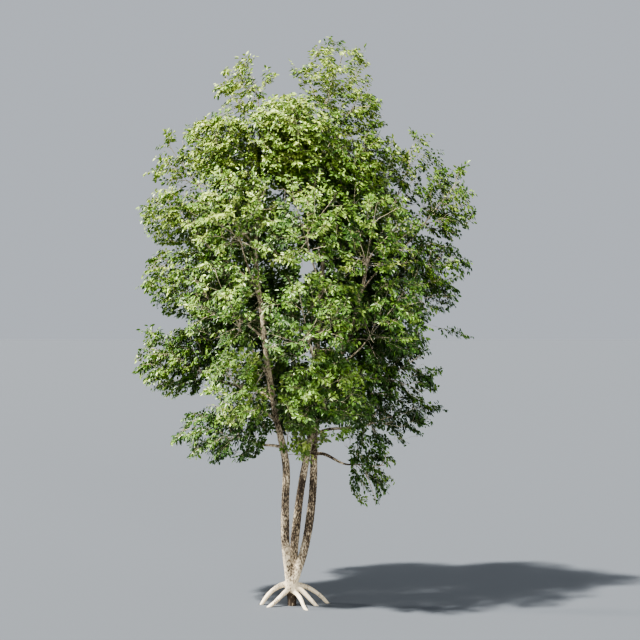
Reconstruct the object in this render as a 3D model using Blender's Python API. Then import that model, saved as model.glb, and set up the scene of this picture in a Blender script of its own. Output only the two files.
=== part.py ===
"""Maple tree with three stems from one foot, in full leaf.

Metres, +Z up. The origin is the middle of the flat cut under the foot, at ground level.
The tree faces -Y: +X is to the right of somebody who looks along +Y.

The trunk is one solid, from the flat cut and its arched surface roots to the ends of three short stubs.
A stem stands on each stub and runs up through the crown. Boughs leave the stems and end where they enter
a mass of foliage. A mass keeps to its own space, an ellipsoid cut off where a neighbour is nearer, and its
twigs and sprays grow in there by one seeded rule. A spray is a blade that stands for a bunch of leaves.
"""

import math
import random

import bmesh
import bpy
import numpy as np
from mathutils import Matrix, Vector
from mathutils.bvhtree import BVHTree

# ---------------------------------------------------------------- driving dimensions, in metres
GAP = 0.0003  # kept between two solids that meet
STRAIGHT = 0.05  # on both sides of the place where a stem stands on its stub
STEP = 0.34  # between the rings of a stem
BOUGH_RINGS, TWIG_RINGS = 5, 3
LIMB_CREASE, LEAF_CREASE = 50, 10  # degrees
STEM_SIDES, BOUGH_SIDES, ROOT_SIDES = 8, 6, 6

COLLAR_HEIGHT = 0.33  # where stems and roots come together
COLLAR_RADIUS = 0.088
FOOT_RADIUS = 0.066  # at the flat cut
FORK_HEIGHT = 0.86  # where the stubs end and the stems begin
STEM_RADIUS = 0.060  # of a stem at its stub
STEM_TIP_RADIUS = 0.008
STEM_TAPER = 0.72  # under 1, a stem keeps its girth longer
BOUGH_SHARE = 0.50  # a bough's radius at its stem, beside the stem's
BOUGH_LEAST = 0.013
TWIG_RADIUS = 0.0095  # where a mass's own stem begins
SIDE_TWIG_RADIUS = 0.0072
TWIG_TIP_RADIUS = 0.0045
SEAT_LENGTH = 0.03  # a mass's stem runs straight on from its bough for this far

SPRAY_LENGTH = 0.64  # at most
SPRAY_SHARE = 1.00  # of the mass's smaller half size, at most
SPRAY_WIDTH = 0.92  # share of the length
SPRAY_THICK = 0.03  # share of the length
SPRAY_ROOT = 0.002  # how far a spray's root goes past its twig's middle
LIMB_CLEARANCE = 0.012  # between a limb and the twigs and sprays of other pieces
SPACE_GAP = 0.045  # between two masses, in shares of their half sizes
TWIGS_PER_AREA = 2.3  # side twigs for each square metre of the space's own section
LEAST_TWIGS = 3
SPRAYS_PER_TWIG = 5

# A stem is a smooth curve through these places: (height, x, y).
STEMS = {
    "left": ((0.33, -0.02, -0.01), (0.86, -0.092, -0.02), (1.45, -0.095, -0.03), (2.00, -0.085, -0.04),
             (2.60, -0.205, -0.06), (3.40, -0.345, -0.05), (4.10, -0.425, 0.00), (4.90, -0.510, 0.04),
             (5.80, -0.470, 0.02), (6.60, -0.450, 0.00), (7.15, -0.480, 0.00)),
    "middle": ((0.33, 0.00, 0.02), (0.86, 0.035, 0.085), (1.45, 0.100, 0.06), (2.00, 0.190, 0.00),
               (2.50, 0.300, -0.08), (3.20, 0.560, -0.14), (4.00, 0.860, -0.12), (4.80, 1.060, -0.06),
               (5.60, 1.130, 0.00)),
    "right": ((0.33, 0.02, -0.01), (0.86, 0.190, -0.04), (1.45, 0.280, 0.03), (2.00, 0.308, 0.14),
              (2.60, 0.315, 0.24), (3.40, 0.340, 0.34), (4.30, 0.400, 0.36), (5.20, 0.450, 0.28),
              (6.10, 0.430, 0.18), (6.90, 0.440, 0.10)),
}

# A root arches out from the collar to the ground: azimuth in degrees, reach, how late it bends down,
# radius at the collar, radius at the ground, height where it leaves the collar.
ROOTS = {
    "far_left": (173, 0.435, 2.5, 0.045, 0.026, 0.300),
    "near_left": (204, 0.345, 1.05, 0.042, 0.025, 0.262),
    "near_right": (-7, 0.345, 1.35, 0.045, 0.026, 0.292),
    "far_right": (18, 0.530, 2.1, 0.042, 0.023, 0.290),
    "front": (-58, 0.400, 1.5, 0.036, 0.025, 0.215),
}

# A mass of foliage: its stem, the height at which its bough leaves the stem (None: it tops the stem, and a
# minus sign: it grows from the stem itself, with no bough), its centre (x, y, z), half width, half height.
MASSES = {
    "top_right": ("right", None, (0.62, 0.04, 7.42), 0.55, 0.58),
    "top_left": ("left", None, (-0.70, 0.00, 7.22), 0.42, 0.50),
    "neck_right": ("right", -6.30, (0.80, -0.24, 6.88), 0.60, 0.42),
    "dome_left": ("left", -6.05, (-0.88, -0.30, 6.42), 0.68, 0.56),
    "dome_mid": ("right", -6.05, (0.00, -0.45, 6.58), 0.72, 0.62),
    "dome_right": ("middle", None, (0.92, -0.25, 6.24), 0.66, 0.60),
    "dome_back": ("right", 5.65, (0.12, 0.75, 6.40), 0.74, 0.64),
    "shoulder_left": ("left", 5.00, (-1.56, 0.15, 6.20), 0.47, 0.50),
    "upper_left": ("left", 4.45, (-1.58, -0.15, 5.47), 0.56, 0.50),
    "shoulder_right": ("middle", 4.75, (1.60, 0.20, 6.02), 0.44, 0.62),
    "upper_right": ("middle", 4.40, (2.12, 0.00, 5.66), 0.53, 0.58),
    "front_left": ("left", 4.15, (-0.80, -1.00, 5.50), 0.74, 0.68),
    "front_mid": ("middle", 3.55, (0.12, -1.35, 5.35), 0.74, 0.68),
    "front_right": ("middle", 4.10, (1.10, -0.95, 5.20), 0.74, 0.68),
    "back_left": ("left", 4.75, (-0.85, 1.05, 5.45), 0.84, 0.74),
    "back_right": ("right", 4.55, (0.95, 1.20, 5.40), 0.84, 0.76),
    "side_left": ("left", 3.70, (-1.52, -0.15, 4.60), 0.63, 0.58),
    "side_right": ("middle", 3.75, (1.88, 0.05, 4.65), 0.58, 0.70),
    "mid_front_left": ("left", 3.10, (-0.85, -1.15, 4.25), 0.74, 0.66),
    "mid_front": ("middle", 2.90, (0.18, -1.50, 4.05), 0.76, 0.66),
    "mid_front_right": ("middle", 3.25, (1.30, -1.05, 4.05), 0.74, 0.66),
    "mid_back_left": ("right", 3.70, (-0.75, 1.30, 4.30), 0.84, 0.70),
    "mid_back_right": ("right", 3.30, (1.00, 1.35, 4.25), 0.84, 0.70),
    "low_left": ("left", 2.85, (-1.64, 0.00, 3.42), 0.60, 0.52),
    "lowest_left": ("left", 2.20, (-0.98, -0.25, 2.42), 0.76, 0.42),
    "low_front": ("left", 2.55, (-0.72, -0.95, 3.10), 0.56, 0.58),
    "low_front_right": ("middle", 2.45, (0.48, -1.00, 2.95), 0.72, 0.60),
    "low_right": ("middle", 2.75, (1.53, -0.05, 3.30), 0.62, 0.58),
    "lowest_right": ("right", 2.35, (1.48, 0.35, 2.62), 0.56, 0.42),
    "hanging": ("right", 2.12, (1.10, -0.10, 1.93), 0.38, 0.58),
    "by_stems": ("left", -2.15, (0.14, -0.30, 2.28), 0.34, 0.34),
    "low_back": ("right", -2.45, (0.10, 0.95, 3.10), 0.76, 0.56),
}
CROWN_MIDDLE = (0.2, 0.1, 4.5)
CROWN_CORE = (1.75, 1.65, 2.3)  # half sizes of the part of the crown that leaves no room between masses
CORE_REACH = 1.35  # how far a mass may reach there, in shares of its half sizes
TIP_SHARE = 0.78  # how far out in the space a twig's tip may be
SEED = 7


# ---------------------------------------------------------------- paths
def smooth_path(places, count):
    """That many points, evenly spaced, on a Catmull-Rom curve through the given places."""
    places = np.array(places, float)
    ends = np.vstack([2 * places[0] - places[1], places, 2 * places[-1] - places[-2]])
    fine = []
    for a, b, c, d in zip(ends, ends[1:], ends[2:], ends[3:]):
        for t in np.linspace(0, 1, 24, endpoint=False):
            fine.append(0.5 * (2 * b + (c - a) * t + (2 * a - 5 * b + 4 * c - d) * t**2
                               + (3 * b - a - 3 * c + d) * t**3))
    fine = np.array([*fine, places[-1]])
    along = np.concatenate([[0], np.cumsum(np.linalg.norm(np.diff(fine, axis=0), axis=1))])
    at = np.linspace(0, along[-1], count)
    return np.stack([np.interp(at, along, fine[:, axis]) for axis in range(3)], axis=1)


def bend_path(start, leaving, end, arriving, count):
    """A cubic curve from start to end that leaves and arrives in the two given directions."""
    reach = 0.38 * np.linalg.norm(end - start)
    first, second = start + leaving * reach, end - arriving * reach
    t = np.linspace(0, 1, count)[:, None]
    return ((1 - t) ** 3 * start + 3 * (1 - t) ** 2 * t * first
            + 3 * (1 - t) * t**2 * second + t**3 * end)


def unit(vector):
    return vector / np.linalg.norm(vector)


def taper(start, end, count, power=1.0):
    """Radii that fall from start to end. A power under 1 keeps the girth longer."""
    return end + (start - end) * (1 - np.linspace(0, 1, count)) ** power


# ---------------------------------------------------------------- materials and solids
def material(name, colour, roughness):
    made = bpy.data.materials.new(name)
    made.use_nodes = True
    shader = made.node_tree.nodes["Principled BSDF"]
    shader.inputs["Base Color"].default_value = (*colour, 1)
    shader.inputs["Roughness"].default_value = roughness
    return made


def clear_scene():
    for thing in list(bpy.data.objects):
        bpy.data.objects.remove(thing)


def new_collection(name, hidden=False):
    made = bpy.data.collections.new(name)
    bpy.context.scene.collection.children.link(made)
    made.hide_render = hidden
    return made


def tube(name, path, radii, sides, collection):
    """A closed tapering tube along a path. It is a curve with filled caps, turned into a welded mesh."""
    curve = bpy.data.curves.new(name, "CURVE")
    curve.dimensions = "3D"
    curve.use_fill_caps = True
    if sides == 3:
        curve.bevel_mode = "OBJECT"
        curve.bevel_object = triangle_profile()
    else:
        curve.bevel_depth = 1.0
        curve.bevel_resolution = sides // 2 - 2
    spline = curve.splines.new("POLY")
    spline.points.add(len(path) - 1)
    for point, place, radius in zip(spline.points, path, radii):
        point.co = (*place, 1)
        point.radius = radius
    drawn = bpy.data.objects.new(name, curve)
    bpy.context.scene.collection.objects.link(drawn)
    graph = bpy.context.evaluated_depsgraph_get()
    mesh = bpy.data.meshes.new_from_object(drawn.evaluated_get(graph))
    bpy.data.objects.remove(drawn)
    bpy.data.curves.remove(curve)
    shape = bmesh.new()
    shape.from_mesh(mesh)
    bmesh.ops.remove_doubles(shape, verts=shape.verts, dist=1e-6)
    bmesh.ops.recalc_face_normals(shape, faces=shape.faces)
    shape.to_mesh(mesh)
    shape.free()
    mesh.name = name
    made = bpy.data.objects.new(name, mesh)
    collection.objects.link(made)
    return made


def triangle_profile():
    """The three-sided section of a twig, of radius 1, drawn once."""
    found = bpy.data.objects.get("twig_section")
    if found:
        return found
    curve = bpy.data.curves.new("twig_section", "CURVE")
    curve.dimensions = "2D"
    spline = curve.splines.new("POLY")
    spline.points.add(2)
    spline.use_cyclic_u = True
    for index, point in enumerate(spline.points):
        turn = -math.tau * index / 3
        point.co = (math.cos(turn), math.sin(turn), 0, 1)
    made = bpy.data.objects.new("twig_section", curve)
    made.hide_render = True
    helpers.objects.link(made)
    return made


def blade(name, matrix, length, collection):
    """A spray: an eight-sided blade with its root at the matrix's origin and its tip along +X."""
    mesh = bpy.data.meshes.new(name)
    shape = bmesh.new()
    bmesh.ops.create_uvsphere(shape, u_segments=4, v_segments=2, radius=1)
    for vert in shape.verts:
        middle = abs(vert.co.x) < 0.5
        vert.co.x = 0.5 * (1 + vert.co.x) - (0.10 if middle else 0)
        vert.co.y *= 0.5 * SPRAY_WIDTH
        vert.co.z *= 0.5 * SPRAY_THICK
    bmesh.ops.scale(shape, vec=Vector((length,) * 3), verts=shape.verts)
    bmesh.ops.transform(shape, matrix=matrix, verts=shape.verts)
    bmesh.ops.recalc_face_normals(shape, faces=shape.faces)
    shape.to_mesh(mesh)
    shape.free()
    made = bpy.data.objects.new(name, mesh)
    collection.objects.link(made)
    return made


def apply_modifiers(thing):
    """Puts what the modifiers make into the object's own mesh."""
    graph = bpy.context.evaluated_depsgraph_get()
    made = bpy.data.meshes.new_from_object(thing.evaluated_get(graph))
    made.name = thing.name
    thing.modifiers.clear()
    thing.data = made


def cut(thing, cutter):
    change = thing.modifiers.new("cut", "BOOLEAN")
    change.operation = "DIFFERENCE"
    change.object = cutter
    apply_modifiers(thing)


def fuse(thing, pieces):
    """One body out of an object and the objects of a collection, which are then removed.

    The manifold solver joins some sixty small closed solids in no time. The exact one takes minutes.
    """
    change = thing.modifiers.new("fuse", "BOOLEAN")
    change.operation = "UNION"
    change.operand_type = "COLLECTION"
    change.collection = pieces
    change.solver = "MANIFOLD"
    apply_modifiers(thing)
    for piece in list(pieces.objects):
        bpy.data.objects.remove(piece)
    bpy.data.collections.remove(pieces)
    keep_body(thing)


def keep_body(thing):
    """Drops loose scraps and the walls of sealed hollows: only the shell with the largest volume stays."""
    shape = bmesh.new()
    shape.from_mesh(thing.data)
    bmesh.ops.triangulate(shape, faces=shape.faces)
    unseen, shells = set(shape.verts), []
    while unseen:
        todo, shell = [unseen.pop()], set()
        while todo:
            vert = todo.pop()
            shell.add(vert)
            fresh = {edge.other_vert(vert) for edge in vert.link_edges} & unseen
            unseen -= fresh
            todo += fresh
        shells.append(shell)
    shells.sort(key=shell_volume)
    bmesh.ops.delete(shape, geom=[vert for shell in shells[:-1] for vert in shell], context="VERTS")
    shape.to_mesh(thing.data)
    shape.free()


def shell_volume(shell):
    faces = {face for vert in shell for face in vert.link_faces}
    return sum(face.verts[0].co.dot(face.verts[1].co.cross(face.verts[2].co)) for face in faces) / 6


def finish(thing, paint, crease):
    """Its material, and smooth shading up to the crease angle."""
    thing.data.materials.clear()
    thing.data.materials.append(paint)
    thing.data.shade_smooth()
    thing.data.set_sharp_from_angle(angle=math.radians(crease))


# ---------------------------------------------------------------- trunk, stems and boughs
def stem_path(name):
    places = [(x, y, height) for height, x, y in STEMS[name]]
    length = places[-1][2] - places[0][2]
    return smooth_path(places, round(length / STEP) * 4 + 1)


def stem_radii(path):
    """Even girth below the fork, then the stem's own taper."""
    free = np.clip((path[:, 2] - FORK_HEIGHT) / (path[-1, 2] - FORK_HEIGHT), 0, 1)
    radii = STEM_TIP_RADIUS + (STEM_RADIUS - STEM_TIP_RADIUS) * (1 - free) ** STEM_TAPER
    below = np.clip((FORK_HEIGHT - path[:, 2]) / (FORK_HEIGHT - COLLAR_HEIGHT), 0, 1)
    return radii + 0.010 * below**2


def split_stem(path, radii):
    """The stub below the fork and the stem above it. Both run straight where their flat ends meet."""
    at = nearest(path, FORK_HEIGHT)
    along = unit(path[at + 1] - path[at - 1])
    stub = [*path[: at - 1 : 2], path[at] - along * STRAIGHT, path[at]]
    stub_radii = [*radii[: at - 1 : 2], radii[at], radii[at]]
    stem = [path[at] + along * GAP, path[at] + along * STRAIGHT, *path[at + 3 : -2 : 4], path[-1]]
    stem_girth = [radii[at], radii[at], *radii[at + 3 : -2 : 4], radii[-1]]
    return (stub, stub_radii), (np.array(stem), np.array(stem_girth))


def nearest(path, height):
    return int(np.argmin(abs(path[:, 2] - height)))


def root_path(azimuth, reach, late, leaving):
    """From inside the collar, out and down past the ground, where the flat cut ends it."""
    turn = math.radians(azimuth)
    out = np.array((math.cos(turn), math.sin(turn), 0))
    aside = np.array((-out[1], out[0], 0))
    share = np.linspace(0, 1.08, 7)
    sway = 0.018 * np.sin(share * 7 + azimuth)
    return np.array([out * reach * s + aside * w * s + (0, 0, leaving * (1 - s**late))
                     for s, w in zip(share, sway)])


def make_trunk(paths):
    """The root crown: the foot on its flat cut, the surface roots and the three stubs, as one solid."""
    pieces = new_collection("trunk_pieces")
    heights = np.array((-0.03, 0.06, 0.16, 0.25, COLLAR_HEIGHT, 0.42))
    girth = np.array((FOOT_RADIUS, FOOT_RADIUS * 0.94, 0.072, 0.090, COLLAR_RADIUS, 0.070))
    foot = [(0, 0, height) for height in heights]
    trunk = tube("trunk", foot, girth, STEM_SIDES, parts)
    for name, (path, radii) in paths.items():
        (stub, stub_radii), _ = split_stem(path, radii)
        tube("stub_" + name, stub, stub_radii, STEM_SIDES, pieces)
    for name, (azimuth, reach, late, thick, thin, leaving) in ROOTS.items():
        path = root_path(azimuth, reach, late, leaving)
        tube("root_" + name, path, taper(thick, thin, len(path), 0.8), ROOT_SIDES, pieces)
    fuse(trunk, pieces)
    bpy.ops.mesh.primitive_cube_add(size=2, location=(0, 0, -1))
    cut(trunk, bpy.context.object)
    bpy.data.objects.remove(bpy.context.object)
    finish(trunk, bark, LIMB_CREASE)


def bough_start(mass, paths):
    """Where a mass's wood leaves its stem: the place, the direction and the radius."""
    stem, leaves_at, centre, _, _ = MASSES[mass]
    path, radii = paths[stem]
    if leaves_at is None:
        return path[-1], unit(path[-1] - path[-2]), radii[-1]
    at = nearest(path, abs(leaves_at))
    start, up = path[at], unit(path[at + 1] - path[at - 1])
    leaving = unit(0.55 * up + 0.9 * unit(np.array(centre) - start))
    return start, leaving, max(BOUGH_SHARE * radii[at], BOUGH_LEAST)


def bough_entry(mass, start):
    """Where a bough ends, well inside its mass on the stem's side, and its direction there."""
    _, _, centre, wide, high = MASSES[mass]
    half = np.array((wide, wide, high))
    back = (start - np.array(centre)) / half
    entry = np.array(centre) + unit(back) * half * 0.72
    return entry, unit(np.array(centre) - entry + np.array((0, 0, 0.10)))


def make_limbs(paths):
    """Stems and boughs. It returns where each mass begins: place, direction and radius."""
    starts, fat_stems, tips = {}, {}, {}
    for name, (path, radii) in paths.items():
        _, (upper, upper_radii) = split_stem(path, radii)
        tips[name] = unit(upper[-1] - upper[-2])
        finish(tube("stem_" + name, upper, upper_radii, STEM_SIDES, parts), bark, LIMB_CREASE)
        fat = tube("fat_" + name, upper, upper_radii + GAP * 1.2, STEM_SIDES, helpers)
        fat.hide_render = True
        fat_stems[name] = fat
    for mass, (stem, leaves_at, *_) in MASSES.items():
        start, leaving, thick = bough_start(mass, paths)
        if leaves_at is None:
            starts[mass] = (start + tips[stem] * GAP, tips[stem], thick, None)
        elif leaves_at < 0:
            starts[mass] = (start, leaving, TWIG_RADIUS * 1.2, fat_stems[stem])
        else:
            entry, arriving = bough_entry(mass, start)
            path = bend_path(start, leaving, entry, arriving, BOUGH_RINGS)
            bough = tube("bough_" + mass, path, taper(thick, TWIG_RADIUS, BOUGH_RINGS), BOUGH_SIDES, parts)
            cut(bough, fat_stems[stem])
            keep_body(bough)
            finish(bough, bark, LIMB_CREASE)
            last = unit(path[-1] - path[-2])
            starts[mass] = (entry + last * GAP, last, TWIG_RADIUS, None)
    return starts


# ---------------------------------------------------------------- foliage
def scaled_distances(points):
    """For each point, its distance from every mass's centre in shares of that mass's half sizes."""
    return np.linalg.norm((points[:, None] - CENTRES[None]) / HALVES[None], axis=2)


def in_space(mass, points):
    """Which points keep to the mass's own space: inside its ellipsoid, or in the crown's core nearest to it."""
    points = np.atleast_2d(points)
    far = scaled_distances(points)
    own = far[:, ORDER.index(mass)]
    others = np.delete(far, ORDER.index(mass), axis=1)
    core = np.linalg.norm((points - CROWN_MIDDLE) / np.array(CROWN_CORE), axis=1) < 1
    return (own <= np.where(core, CORE_REACH, 1.0)) & (own + SPACE_GAP <= others.min(axis=1))


def tip_places(mass, start, count, rng):
    """Tips for the side twigs, each the farthest of many random places from those already taken."""
    _, _, centre, wide, high = MASSES[mass]
    half = np.array((wide, wide, high))
    spots = np.array([[rng.uniform(-1, 1) for _ in range(3)] for _ in range(2500)]) * CORE_REACH
    spots = spots[np.linalg.norm(spots, axis=1) > 0.4]
    inner = np.array(centre) + spots * half
    spots = inner[in_space(mass, np.array(centre) + spots * half / TIP_SHARE)]
    nearest_taken = np.linalg.norm(spots - start, axis=1)
    taken = []
    for _ in range(count):
        taken.append(spots[int(np.argmax(nearest_taken))])
        nearest_taken = np.minimum(nearest_taken, np.linalg.norm(spots - taken[-1], axis=1))
    return taken


def join_cost(place, onward, tip, start):
    """How badly a place on the wood suits as the root of a twig to that tip: far off, or pointing back."""
    way = tip - place
    ahead = unit(onward) @ unit(way)
    return np.linalg.norm(way) * (1.4 - 0.7 * ahead) + 0.35 * np.linalg.norm(place - start)


def spray_matrix(root, along, rng):
    """A frame whose X runs along the spray and whose Z looks up and outwards, as a leaf turns to the light."""
    light = unit(root - np.array(CROWN_MIDDLE)) * 0.8 + (rng.gauss(0, 0.4), rng.gauss(0, 0.4), 0.3)
    side = unit(np.cross(light, along))
    normal = np.cross(along, side)
    return Matrix((
        (along[0], side[0], normal[0], root[0]),
        (along[1], side[1], normal[1], root[1]),
        (along[2], side[2], normal[2], root[2]),
        (0, 0, 0, 1),
    ))


def triangles(thing):
    return BVHTree.FromPolygons([tuple(v.co) for v in thing.data.vertices],
                                [tuple(p.vertices) for p in thing.data.polygons], epsilon=0.0)


def fits(mass, thing, limbs, others=()):
    """Whether a twig or spray keeps to the mass's space, and clear of every limb and of the others."""
    corners = np.array([v.co for v in thing.data.vertices])
    if not in_space(mass, corners).all():
        return False
    shape = triangles(thing)
    return not shape.overlap(limbs) and not any(shape.overlap(other) for other in others)


def make_mass(mass, begin, limbs, rng):
    """One mass: its own stem, side twigs that join it or each other, and the sprays on them."""
    start, leaving, thick, seat = begin
    _, _, centre, wide, high = MASSES[mass]
    centre, half = np.array(centre), np.array((wide, wide, high))
    far_end = centre + unit((centre - start) / half + np.array((0, 0, 0.25))) * half * 0.62
    seated = start + leaving * SEAT_LENGTH
    path = np.vstack([start, bend_path(seated, leaving, far_end, unit(far_end - centre), 4)])
    core = tube("foliage_" + mass, path, taper(thick, TWIG_TIP_RADIUS, 5), 3, parts)
    pieces = new_collection("pieces_" + mass)
    twigs = [(path[1:], triangles(core))]
    count = max(LEAST_TWIGS, round(TWIGS_PER_AREA * math.pi * wide * high))
    for tip in sorted(tip_places(mass, start, count, rng), key=lambda t: np.linalg.norm(t - start)):
        joins = [(join_cost(line[j], line[j + 1] - line[j], tip, start), i, j)
                 for i, (line, _) in enumerate(twigs) for j in range(len(line) - 1)]
        for _, i, j in sorted(joins)[:3]:
            root, parent = twigs[i][0][j], unit(twigs[i][0][j + 1] - twigs[i][0][j])
            line = bend_path(root, unit(parent + unit(tip - root)), tip,
                             unit(tip - root + np.array((0, 0, -0.05))), TWIG_RINGS)
            twig = tube("twig", line, taper(SIDE_TWIG_RADIUS, TWIG_TIP_RADIUS, TWIG_RINGS), 3, pieces)
            beside = [shape for k, (_, shape) in enumerate(twigs) if k != i]
            if fits(mass, twig, limbs, beside):
                twigs.append((line, triangles(twig)))
                break
            bpy.data.objects.remove(twig)
    sprays = []
    for share in np.linspace(1.0, 0.35, SPRAYS_PER_TWIG):
        for own, (line, _) in enumerate(twigs):
            beside = [shape for k, (_, shape) in enumerate(twigs) if k != own] + sprays
            sprays += grow_spray(mass, line, share, pieces, limbs, beside, rng)
    fuse(core, pieces)
    if seat:
        cut(core, seat)
        keep_body(core)
    finish(core, leaf, LEAF_CREASE)
    return len(sprays)


def grow_spray(mass, line, share, pieces, limbs, beside, rng):
    """One spray at that share of a twig. It is turned and shortened until it fits, or left out."""
    at = share * (len(line) - 1)
    low = min(int(at), len(line) - 2)
    place = line[low] + (line[low + 1] - line[low]) * (at - low)
    onward = unit(line[low + 1] - line[low])
    outward = unit(place - np.array(MASSES[mass][2]))
    longest = min(SPRAY_LENGTH, SPRAY_SHARE * min(MASSES[mass][3:]))
    for attempt in range(14):
        shake = np.array([rng.gauss(0, 0.55) for _ in range(3)])
        along = unit(onward * (0.8 if share > 0.9 else 0.3) + outward * 0.8 + shake + (0, 0, -0.25))
        length = longest * rng.uniform(0.8, 1.0) * (1 - 0.04 * attempt)
        root = place - along * SPRAY_ROOT
        spray = blade("spray", spray_matrix(root, along, rng), length, pieces)
        if fits(mass, spray, limbs, beside):
            return [triangles(spray)]
        bpy.data.objects.remove(spray)
    return []


# ---------------------------------------------------------------- the tree
def limb_hull():
    """All limbs, a little fatter than they are, as one tree of triangles to keep clear of."""
    corners, faces = [], []
    for thing in parts.objects:
        base = len(corners)
        smooth = bmesh.new()
        smooth.from_mesh(thing.data)
        smooth.normal_update()
        for vert in smooth.verts:
            corners.append(tuple(vert.co + vert.normal * LIMB_CLEARANCE))
        faces += [tuple(base + v.index for v in face.verts) for face in smooth.faces]
        smooth.free()
    return BVHTree.FromPolygons(corners, faces, epsilon=0.0)


clear_scene()
parts = new_collection("maple_tree")
helpers = new_collection("helpers", hidden=True)
bark = material("bark", (0.40, 0.35, 0.28), 0.85)
leaf = material("leaf", (0.16, 0.30, 0.07), 0.55)
ORDER = list(MASSES)
CENTRES = np.array([MASSES[name][2] for name in ORDER])
HALVES = np.array([(MASSES[name][3], MASSES[name][3], MASSES[name][4]) for name in ORDER])

stem_lines = {}
for stem_name in STEMS:
    line_of_stem = stem_path(stem_name)
    stem_lines[stem_name] = (line_of_stem, stem_radii(line_of_stem))
make_trunk(stem_lines)
begins = make_limbs(stem_lines)
keep_clear = limb_hull()
sprays_made = 0
for number, mass_name in enumerate(ORDER):
    sprays_made += make_mass(mass_name, begins[mass_name], keep_clear, random.Random(SEED + number))
print(sprays_made, "sprays")
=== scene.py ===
# %% [markdown]
# # A maple tree with three stems, in full leaf
#
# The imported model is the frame: a root crown, three stems, their boughs and the masses of foliage, all at
# their real places. Here each of them gets its look. The bark is one skin with real relief, the masses
# grow out into fine twigs, and every twig carries its own small leaves.

import math
import random

import bpy
import numpy as np
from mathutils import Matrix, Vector, noise


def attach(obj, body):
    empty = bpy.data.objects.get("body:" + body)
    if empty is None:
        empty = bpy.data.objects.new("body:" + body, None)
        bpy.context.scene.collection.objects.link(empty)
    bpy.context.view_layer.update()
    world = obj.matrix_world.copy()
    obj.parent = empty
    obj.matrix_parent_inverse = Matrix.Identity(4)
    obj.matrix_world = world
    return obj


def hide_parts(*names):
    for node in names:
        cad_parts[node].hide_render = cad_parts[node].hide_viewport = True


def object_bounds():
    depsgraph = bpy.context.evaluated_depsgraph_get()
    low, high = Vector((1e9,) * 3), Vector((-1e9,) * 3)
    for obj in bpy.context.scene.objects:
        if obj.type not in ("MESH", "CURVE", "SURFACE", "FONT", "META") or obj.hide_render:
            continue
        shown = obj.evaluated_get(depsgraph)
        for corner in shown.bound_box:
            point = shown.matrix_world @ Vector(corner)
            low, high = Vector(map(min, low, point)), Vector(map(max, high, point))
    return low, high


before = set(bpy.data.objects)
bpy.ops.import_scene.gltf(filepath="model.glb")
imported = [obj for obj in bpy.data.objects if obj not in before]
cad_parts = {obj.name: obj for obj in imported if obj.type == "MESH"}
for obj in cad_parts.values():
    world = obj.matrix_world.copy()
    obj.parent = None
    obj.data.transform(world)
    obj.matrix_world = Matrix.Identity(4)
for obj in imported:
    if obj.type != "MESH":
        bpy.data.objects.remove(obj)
cad_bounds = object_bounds()
foliage_nodes = sorted(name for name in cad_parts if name.startswith("foliage_"))
bough_nodes = sorted(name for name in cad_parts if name.startswith("bough_"))
print(len(bough_nodes), "boughs and", len(foliage_nodes), "masses of foliage")

# %% [markdown]
# ## The tree's own sizes
#
# The stems, the roots and the masses are written here as they are in the model's own source: a stem is a
# smooth curve through a few places, a root is an arch, and a mass is an ellipsoid of space that one bough
# feeds. They are written again because the fine twigs grow on from those limbs and fill those spaces. All
# sizes are in metres.

# %% The three stems
FORK_HEIGHT = 0.86
STEM_RADIUS, STEM_TIP_RADIUS, STEM_TAPER = 0.060, 0.008, 0.72

# (height, x, y) of the places a stem runs through
STEMS = {
    "left": ((0.33, -0.02, -0.01), (0.86, -0.092, -0.02), (1.45, -0.095, -0.03), (2.00, -0.085, -0.04),
             (2.60, -0.205, -0.06), (3.40, -0.345, -0.05), (4.10, -0.425, 0.00), (4.90, -0.510, 0.04),
             (5.80, -0.470, 0.02), (6.60, -0.450, 0.00), (7.15, -0.480, 0.00)),
    "middle": ((0.33, 0.00, 0.02), (0.86, 0.035, 0.085), (1.45, 0.100, 0.06), (2.00, 0.190, 0.00),
               (2.50, 0.300, -0.08), (3.20, 0.560, -0.14), (4.00, 0.860, -0.12), (4.80, 1.060, -0.06),
               (5.60, 1.130, 0.00)),
    "right": ((0.33, 0.02, -0.01), (0.86, 0.190, -0.04), (1.45, 0.280, 0.03), (2.00, 0.308, 0.14),
              (2.60, 0.315, 0.24), (3.40, 0.340, 0.34), (4.30, 0.400, 0.36), (5.20, 0.450, 0.28),
              (6.10, 0.430, 0.18), (6.90, 0.440, 0.10)),
}
print({name: places[-1][0] for name, places in STEMS.items()}, "m high")

# %% The collar, the foot and the roots
COLLAR_HEIGHT, COLLAR_RADIUS = 0.33, 0.088
FOOT_RADIUS = 0.066

# azimuth in degrees, reach, how late it bends down, radius at the collar, radius at the ground, height
ROOTS = {
    "far_left": (173, 0.435, 2.5, 0.045, 0.026, 0.300),
    "near_left": (204, 0.345, 1.05, 0.042, 0.025, 0.262),
    "near_right": (-7, 0.345, 1.35, 0.045, 0.026, 0.292),
    "far_right": (18, 0.530, 2.1, 0.042, 0.023, 0.290),
    "front": (-58, 0.400, 1.5, 0.036, 0.025, 0.215),
}
print(len(ROOTS), "roots")

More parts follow.
